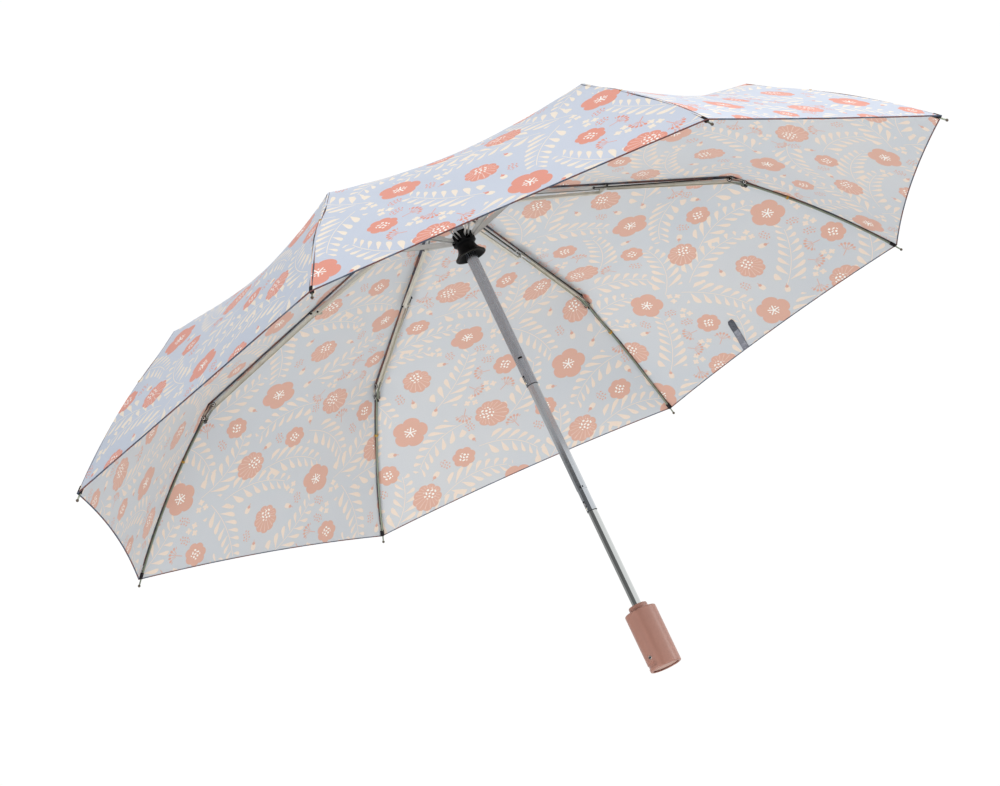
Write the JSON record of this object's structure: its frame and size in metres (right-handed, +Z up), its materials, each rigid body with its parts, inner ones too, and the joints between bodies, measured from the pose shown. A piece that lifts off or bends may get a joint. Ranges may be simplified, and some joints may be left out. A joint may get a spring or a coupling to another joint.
{
  "type": "folding umbrella",
  "caption": "Automatic folding umbrella, drawn open: panelled canopy on hinged three-section ribs, sliding runner, telescopic shaft and a barrel handle with a push button",
  "frame": {"origin": "centre of the bottom of the handle", "axes": "+Z runs up the shaft to the crown; +X points along rib 1; ribs are numbered anticlockwise seen from above"},
  "size_m": [0.9848, 0.9848, 0.5544],
  "materials": {
    "handle_grip": "satin moulded plastic",
    "handle_end_cap": "satin moulded plastic",
    "push_button": "satin moulded plastic",
    "button_spring": "plain spring wire",
    "lower_tube": "bright plated, eight-sided",
    "middle_tube": "satin plated, eight-sided",
    "upper_tube": "matte grey plated tube",
    "drive_spring": "oiled spring wire",
    "crown": "black moulded plastic",
    "ferrule_cap": "black moulded plastic",
    "runner": "black moulded plastic",
    "canopy": "printed polyester pongee, pale blue-grey ground with coral and cream flowers",
    "top_rib": "zinc plated channel",
    "stretcher": "zinc plated channel",
    "rib_channel": "warm grey coated channel",
    "outer_rib": "grey-green coated wire",
    "rod": "dark spring wire"
  },
  "bodies": {
    "root": {"handle_grip": "handle_grip", "handle_end_cap": "handle_end_cap", "button_spring": "button_spring", "lower_tube": "lower_tube", "drive_spring": "drive_spring"},
    "push_button": {"push_button": "push_button"},
    "middle_tube": {"middle_tube": "middle_tube"},
    "upper_tube": {"upper_tube": "upper_tube", "crown": "crown", "ferrule_cap": "ferrule_cap", "canopy": "canopy"},
    "runner": {"runner": "runner"},
    "top_rib_1": {"top_rib_1": "top_rib"},
    "stretcher_1": {"stretcher_1": "stretcher"},
    "link_1": {"link_1": "rib_channel"},
    "middle_rib_1": {"middle_rib_1": "rib_channel"},
    "outer_rib_1": {"outer_rib_1": "outer_rib"},
    "rod_1": {"rod_1": "rod"},
    "top_rib_2": {"top_rib_2": "top_rib"},
    "stretcher_2": {"stretcher_2": "stretcher"},
    "link_2": {"link_2": "rib_channel"},
    "middle_rib_2": {"middle_rib_2": "rib_channel"},
    "outer_rib_2": {"outer_rib_2": "outer_rib"},
    "rod_2": {"rod_2": "rod"},
    "top_rib_3": {"top_rib_3": "top_rib"},
    "stretcher_3": {"stretcher_3": "stretcher"},
    "link_3": {"link_3": "rib_channel"},
    "middle_rib_3": {"middle_rib_3": "rib_channel"},
    "outer_rib_3": {"outer_rib_3": "outer_rib"},
    "rod_3": {"rod_3": "rod"},
    "top_rib_4": {"top_rib_4": "top_rib"},
    "stretcher_4": {"stretcher_4": "stretcher"},
    "link_4": {"link_4": "rib_channel"},
    "middle_rib_4": {"middle_rib_4": "rib_channel"},
    "outer_rib_4": {"outer_rib_4": "outer_rib"},
    "rod_4": {"rod_4": "rod"},
    "top_rib_5": {"top_rib_5": "top_rib"},
    "stretcher_5": {"stretcher_5": "stretcher"},
    "link_5": {"link_5": "rib_channel"},
    "middle_rib_5": {"middle_rib_5": "rib_channel"},
    "outer_rib_5": {"outer_rib_5": "outer_rib"},
    "rod_5": {"rod_5": "rod"},
    "top_rib_6": {"top_rib_6": "top_rib"},
    "stretcher_6": {"stretcher_6": "stretcher"},
    "link_6": {"link_6": "rib_channel"},
    "middle_rib_6": {"middle_rib_6": "rib_channel"},
    "outer_rib_6": {"outer_rib_6": "outer_rib"},
    "rod_6": {"rod_6": "rod"},
    "top_rib_7": {"top_rib_7": "top_rib"},
    "stretcher_7": {"stretcher_7": "stretcher"},
    "link_7": {"link_7": "rib_channel"},
    "middle_rib_7": {"middle_rib_7": "rib_channel"},
    "outer_rib_7": {"outer_rib_7": "outer_rib"},
    "rod_7": {"rod_7": "rod"},
    "top_rib_8": {"top_rib_8": "top_rib"},
    "stretcher_8": {"stretcher_8": "stretcher"},
    "link_8": {"link_8": "rib_channel"},
    "middle_rib_8": {"middle_rib_8": "rib_channel"},
    "outer_rib_8": {"outer_rib_8": "outer_rib"},
    "rod_8": {"rod_8": "rod"}
  },
  "joints": [
    {"name": "button_press", "type": "slide", "parent": "root", "child": "push_button", "axis": [0.2756, -0.9613, 0], "range_m": [0, 0.0025], "stiffness_N_per_m": 400, "springref_m": -0.002, "deforming": ["button_spring"]},
    {"name": "shaft_telescope", "type": "slide", "parent": "middle_tube", "child": "upper_tube", "axis": [0, 0, -1], "range_m": [0, 0.1435], "deforming": ["drive_spring"]},
    {"name": "middle_tube_slide", "type": "slide", "parent": "root", "child": "middle_tube", "axis": [0, 0, -1], "range_m": [0, 0.1045]},
    {"name": "canopy_fold", "type": "hinge", "parent": "upper_tube", "child": "top_rib_1", "pos_m": [0.011, 0, 0.5386], "axis": [0, 1, 0], "range_deg": [0, 75], "deforming": ["canopy"]},
    {"name": "runner_slide", "type": "slide", "parent": "upper_tube", "child": "runner", "axis": [0, 0, -1], "range_m": [0, 0.10836]},
    {"name": "stretcher_1_fold", "type": "hinge", "parent": "runner", "child": "stretcher_1", "pos_m": [0.0102, 0, 0.4906], "axis": [0, 1, 0], "range_deg": [-63.45, 0]},
    {"name": "middle_rib_1_fold", "type": "hinge", "parent": "top_rib_1", "child": "middle_rib_1", "pos_m": [0.18445, 0, 0.50488], "axis": [0, 1, 0], "range_deg": [-179, 0]},
    {"name": "link_1_fold", "type": "hinge", "parent": "middle_rib_1", "child": "link_1", "pos_m": [0.1757, 0, 0.50169], "axis": [0, 1, 0], "range_deg": [0, 175.84]},
    {"name": "outer_rib_1_fold", "type": "hinge", "parent": "middle_rib_1", "child": "outer_rib_1", "pos_m": [0.34383, 0, 0.4659], "axis": [0, 1, 0], "range_deg": [0, 152.9]},
    {"name": "rod_1_fold", "type": "hinge", "parent": "outer_rib_1", "child": "rod_1", "pos_m": [0.32952, 0, 0.47508], "axis": [0, 1, 0], "range_deg": [-149.57, 0]},
    {"name": "top_rib_2_fold", "type": "hinge", "parent": "upper_tube", "child": "top_rib_2", "pos_m": [0.00778, 0.00778, 0.5386], "axis": [-0.7071, 0.7071, 0], "range_deg": [0, 75]},
    {"name": "stretcher_2_fold", "type": "hinge", "parent": "runner", "child": "stretcher_2", "pos_m": [0.00721, 0.00721, 0.4906], "axis": [-0.7071, 0.7071, 0], "range_deg": [-63.45, 0]},
    {"name": "middle_rib_2_fold", "type": "hinge", "parent": "top_rib_2", "child": "middle_rib_2", "pos_m": [0.13043, 0.13043, 0.50488], "axis": [-0.7071, 0.7071, 0], "range_deg": [-179, 0]},
    {"name": "link_2_fold", "type": "hinge", "parent": "middle_rib_2", "child": "link_2", "pos_m": [0.12424, 0.12424, 0.50169], "axis": [-0.7071, 0.7071, 0], "range_deg": [0, 175.84]},
    {"name": "outer_rib_2_fold", "type": "hinge", "parent": "middle_rib_2", "child": "outer_rib_2", "pos_m": [0.24313, 0.24313, 0.4659], "axis": [-0.7071, 0.7071, 0], "range_deg": [0, 152.9]},
    {"name": "rod_2_fold", "type": "hinge", "parent": "outer_rib_2", "child": "rod_2", "pos_m": [0.23301, 0.23301, 0.47508], "axis": [-0.7071, 0.7071, 0], "range_deg": [-149.57, 0]},
    {"name": "top_rib_3_fold", "type": "hinge", "parent": "upper_tube", "child": "top_rib_3", "pos_m": [0, 0.011, 0.5386], "axis": [-1, 0, 0], "range_deg": [0, 75]},
    {"name": "stretcher_3_fold", "type": "hinge", "parent": "runner", "child": "stretcher_3", "pos_m": [0, 0.0102, 0.4906], "axis": [-1, 0, 0], "range_deg": [-63.45, 0]},
    {"name": "middle_rib_3_fold", "type": "hinge", "parent": "top_rib_3", "child": "middle_rib_3", "pos_m": [0, 0.18445, 0.50488], "axis": [-1, 0, 0], "range_deg": [-179, 0]},
    {"name": "link_3_fold", "type": "hinge", "parent": "middle_rib_3", "child": "link_3", "pos_m": [0, 0.1757, 0.50169], "axis": [-1, 0, 0], "range_deg": [0, 175.84]},
    {"name": "outer_rib_3_fold", "type": "hinge", "parent": "middle_rib_3", "child": "outer_rib_3", "pos_m": [0, 0.34383, 0.4659], "axis": [-1, 0, 0], "range_deg": [0, 152.9]},
    {"name": "rod_3_fold", "type": "hinge", "parent": "outer_rib_3", "child": "rod_3", "pos_m": [0, 0.32952, 0.47508], "axis": [-1, 0, 0], "range_deg": [-149.57, 0]},
    {"name": "top_rib_4_fold", "type": "hinge", "parent": "upper_tube", "child": "top_rib_4", "pos_m": [-0.00778, 0.00778, 0.5386], "axis": [-0.7071, -0.7071, 0], "range_deg": [0, 75]},
    {"name": "stretcher_4_fold", "type": "hinge", "parent": "runner", "child": "stretcher_4", "pos_m": [-0.00721, 0.00721, 0.4906], "axis": [-0.7071, -0.7071, 0], "range_deg": [-63.45, 0]},
    {"name": "middle_rib_4_fold", "type": "hinge", "parent": "top_rib_4", "child": "middle_rib_4", "pos_m": [-0.13043, 0.13043, 0.50488], "axis": [-0.7071, -0.7071, 0], "range_deg": [-179, 0]},
    {"name": "link_4_fold", "type": "hinge", "parent": "middle_rib_4", "child": "link_4", "pos_m": [-0.12424, 0.12424, 0.50169], "axis": [-0.7071, -0.7071, 0], "range_deg": [0, 175.84]},
    {"name": "outer_rib_4_fold", "type": "hinge", "parent": "middle_rib_4", "child": "outer_rib_4", "pos_m": [-0.24313, 0.24313, 0.4659], "axis": [-0.7071, -0.7071, 0], "range_deg": [0, 152.9]},
    {"name": "rod_4_fold", "type": "hinge", "parent": "outer_rib_4", "child": "rod_4", "pos_m": [-0.23301, 0.23301, 0.47508], "axis": [-0.7071, -0.7071, 0], "range_deg": [-149.57, 0]},
    {"name": "top_rib_5_fold", "type": "hinge", "parent": "upper_tube", "child": "top_rib_5", "pos_m": [-0.011, 0, 0.5386], "axis": [0, -1, 0], "range_deg": [0, 75]},
    {"name": "stretcher_5_fold", "type": "hinge", "parent": "runner", "child": "stretcher_5", "pos_m": [-0.0102, 0, 0.4906], "axis": [0, -1, 0], "range_deg": [-63.45, 0]},
    {"name": "middle_rib_5_fold", "type": "hinge", "parent": "top_rib_5", "child": "middle_rib_5", "pos_m": [-0.18445, 0, 0.50488], "axis": [0, -1, 0], "range_deg": [-179, 0]},
    {"name": "link_5_fold", "type": "hinge", "parent": "middle_rib_5", "child": "link_5", "pos_m": [-0.1757, 0, 0.50169], "axis": [0, -1, 0], "range_deg": [0, 175.84]},
    {"name": "outer_rib_5_fold", "type": "hinge", "parent": "middle_rib_5", "child": "outer_rib_5", "pos_m": [-0.34383, 0, 0.4659], "axis": [0, -1, 0], "range_deg": [0, 152.9]},
    {"name": "rod_5_fold", "type": "hinge", "parent": "outer_rib_5", "child": "rod_5", "pos_m": [-0.32952, 0, 0.47508], "axis": [0, -1, 0], "range_deg": [-149.57, 0]},
    {"name": "top_rib_6_fold", "type": "hinge", "parent": "upper_tube", "child": "top_rib_6", "pos_m": [-0.00778, -0.00778, 0.5386], "axis": [0.7071, -0.7071, 0], "range_deg": [0, 75]},
    {"name": "stretcher_6_fold", "type": "hinge", "parent": "runner", "child": "stretcher_6", "pos_m": [-0.00721, -0.00721, 0.4906], "axis": [0.7071, -0.7071, 0], "range_deg": [-63.45, 0]},
    {"name": "middle_rib_6_fold", "type": "hinge", "parent": "top_rib_6", "child": "middle_rib_6", "pos_m": [-0.13043, -0.13043, 0.50488], "axis": [0.7071, -0.7071, 0], "range_deg": [-179, 0]},
    {"name": "link_6_fold", "type": "hinge", "parent": "middle_rib_6", "child": "link_6", "pos_m": [-0.12424, -0.12424, 0.50169], "axis": [0.7071, -0.7071, 0], "range_deg": [0, 175.84]},
    {"name": "outer_rib_6_fold", "type": "hinge", "parent": "middle_rib_6", "child": "outer_rib_6", "pos_m": [-0.24313, -0.24313, 0.4659], "axis": [0.7071, -0.7071, 0], "range_deg": [0, 152.9]},
    {"name": "rod_6_fold", "type": "hinge", "parent": "outer_rib_6", "child": "rod_6", "pos_m": [-0.23301, -0.23301, 0.47508], "axis": [0.7071, -0.7071, 0], "range_deg": [-149.57, 0]},
    {"name": "top_rib_7_fold", "type": "hinge", "parent": "upper_tube", "child": "top_rib_7", "pos_m": [0, -0.011, 0.5386], "axis": [1, 0, 0], "range_deg": [0, 75]},
    {"name": "stretcher_7_fold", "type": "hinge", "parent": "runner", "child": "stretcher_7", "pos_m": [0, -0.0102, 0.4906], "axis": [1, 0, 0], "range_deg": [-63.45, 0]},
    {"name": "middle_rib_7_fold", "type": "hinge", "parent": "top_rib_7", "child": "middle_rib_7", "pos_m": [0, -0.18445, 0.50488], "axis": [1, 0, 0], "range_deg": [-179, 0]},
    {"name": "link_7_fold", "type": "hinge", "parent": "middle_rib_7", "child": "link_7", "pos_m": [0, -0.1757, 0.50169], "axis": [1, 0, 0], "range_deg": [0, 175.84]},
    {"name": "outer_rib_7_fold", "type": "hinge", "parent": "middle_rib_7", "child": "outer_rib_7", "pos_m": [0, -0.34383, 0.4659], "axis": [1, 0, 0], "range_deg": [0, 152.9]},
    {"name": "rod_7_fold", "type": "hinge", "parent": "outer_rib_7", "child": "rod_7", "pos_m": [0, -0.32952, 0.47508], "axis": [1, 0, 0], "range_deg": [-149.57, 0]},
    {"name": "top_rib_8_fold", "type": "hinge", "parent": "upper_tube", "child": "top_rib_8", "pos_m": [0.00778, -0.00778, 0.5386], "axis": [0.7071, 0.7071, 0], "range_deg": [0, 75]},
    {"name": "stretcher_8_fold", "type": "hinge", "parent": "runner", "child": "stretcher_8", "pos_m": [0.00721, -0.00721, 0.4906], "axis": [0.7071, 0.7071, 0], "range_deg": [-63.45, 0]},
    {"name": "middle_rib_8_fold", "type": "hinge", "parent": "top_rib_8", "child": "middle_rib_8", "pos_m": [0.13043, -0.13043, 0.50488], "axis": [0.7071, 0.7071, 0], "range_deg": [-179, 0]},
    {"name": "link_8_fold", "type": "hinge", "parent": "middle_rib_8", "child": "link_8", "pos_m": [0.12424, -0.12424, 0.50169], "axis": [0.7071, 0.7071, 0], "range_deg": [0, 175.84]},
    {"name": "outer_rib_8_fold", "type": "hinge", "parent": "middle_rib_8", "child": "outer_rib_8", "pos_m": [0.24313, -0.24313, 0.4659], "axis": [0.7071, 0.7071, 0], "range_deg": [0, 152.9]},
    {"name": "rod_8_fold", "type": "hinge", "parent": "outer_rib_8", "child": "rod_8", "pos_m": [0.23301, -0.23301, 0.47508], "axis": [0.7071, 0.7071, 0], "range_deg": [-149.57, 0]}
  ],
  "couplings": [
    {"joint": "middle_tube_slide", "follows": "shaft_telescope", "ratio": 0.72822},
    {"joint": "runner_slide", "follows": "canopy_fold", "m_per_rad": 0.08278},
    {"joint": "stretcher_1_fold", "follows": "canopy_fold", "ratio": -0.84599},
    {"joint": "middle_rib_1_fold", "follows": "canopy_fold", "ratio": -2.3867},
    {"joint": "link_1_fold", "follows": "canopy_fold", "ratio": 2.3446},
    {"joint": "outer_rib_1_fold", "follows": "canopy_fold", "ratio": 2.0387},
    {"joint": "rod_1_fold", "follows": "canopy_fold", "ratio": -1.9942},
    {"joint": "top_rib_2_fold", "follows": "canopy_fold", "ratio": 1},
    {"joint": "stretcher_2_fold", "follows": "canopy_fold", "ratio": -0.84599},
    {"joint": "middle_rib_2_fold", "follows": "canopy_fold", "ratio": -2.3867},
    {"joint": "link_2_fold", "follows": "canopy_fold", "ratio": 2.3446},
    {"joint": "outer_rib_2_fold", "follows": "canopy_fold", "ratio": 2.0387},
    {"joint": "rod_2_fold", "follows": "canopy_fold", "ratio": -1.9942},
    {"joint": "top_rib_3_fold", "follows": "canopy_fold", "ratio": 1},
    {"joint": "stretcher_3_fold", "follows": "canopy_fold", "ratio": -0.84599},
    {"joint": "middle_rib_3_fold", "follows": "canopy_fold", "ratio": -2.3867},
    {"joint": "link_3_fold", "follows": "canopy_fold", "ratio": 2.3446},
    {"joint": "outer_rib_3_fold", "follows": "canopy_fold", "ratio": 2.0387},
    {"joint": "rod_3_fold", "follows": "canopy_fold", "ratio": -1.9942},
    {"joint": "top_rib_4_fold", "follows": "canopy_fold", "ratio": 1},
    {"joint": "stretcher_4_fold", "follows": "canopy_fold", "ratio": -0.84599},
    {"joint": "middle_rib_4_fold", "follows": "canopy_fold", "ratio": -2.3867},
    {"joint": "link_4_fold", "follows": "canopy_fold", "ratio": 2.3446},
    {"joint": "outer_rib_4_fold", "follows": "canopy_fold", "ratio": 2.0387},
    {"joint": "rod_4_fold", "follows": "canopy_fold", "ratio": -1.9942},
    {"joint": "top_rib_5_fold", "follows": "canopy_fold", "ratio": 1},
    {"joint": "stretcher_5_fold", "follows": "canopy_fold", "ratio": -0.84599},
    {"joint": "middle_rib_5_fold", "follows": "canopy_fold", "ratio": -2.3867},
    {"joint": "link_5_fold", "follows": "canopy_fold", "ratio": 2.3446},
    {"joint": "outer_rib_5_fold", "follows": "canopy_fold", "ratio": 2.0387},
    {"joint": "rod_5_fold", "follows": "canopy_fold", "ratio": -1.9942},
    {"joint": "top_rib_6_fold", "follows": "canopy_fold", "ratio": 1},
    {"joint": "stretcher_6_fold", "follows": "canopy_fold", "ratio": -0.84599},
    {"joint": "middle_rib_6_fold", "follows": "canopy_fold", "ratio": -2.3867},
    {"joint": "link_6_fold", "follows": "canopy_fold", "ratio": 2.3446},
    {"joint": "outer_rib_6_fold", "follows": "canopy_fold", "ratio": 2.0387},
    {"joint": "rod_6_fold", "follows": "canopy_fold", "ratio": -1.9942},
    {"joint": "top_rib_7_fold", "follows": "canopy_fold", "ratio": 1},
    {"joint": "stretcher_7_fold", "follows": "canopy_fold", "ratio": -0.84599},
    {"joint": "middle_rib_7_fold", "follows": "canopy_fold", "ratio": -2.3867},
    {"joint": "link_7_fold", "follows": "canopy_fold", "ratio": 2.3446},
    {"joint": "outer_rib_7_fold", "follows": "canopy_fold", "ratio": 2.0387},
    {"joint": "rod_7_fold", "follows": "canopy_fold", "ratio": -1.9942},
    {"joint": "top_rib_8_fold", "follows": "canopy_fold", "ratio": 1},
    {"joint": "stretcher_8_fold", "follows": "canopy_fold", "ratio": -0.84599},
    {"joint": "middle_rib_8_fold", "follows": "canopy_fold", "ratio": -2.3867},
    {"joint": "link_8_fold", "follows": "canopy_fold", "ratio": 2.3446},
    {"joint": "outer_rib_8_fold", "follows": "canopy_fold", "ratio": 2.0387},
    {"joint": "rod_8_fold", "follows": "canopy_fold", "ratio": -1.9942}
  ]
}
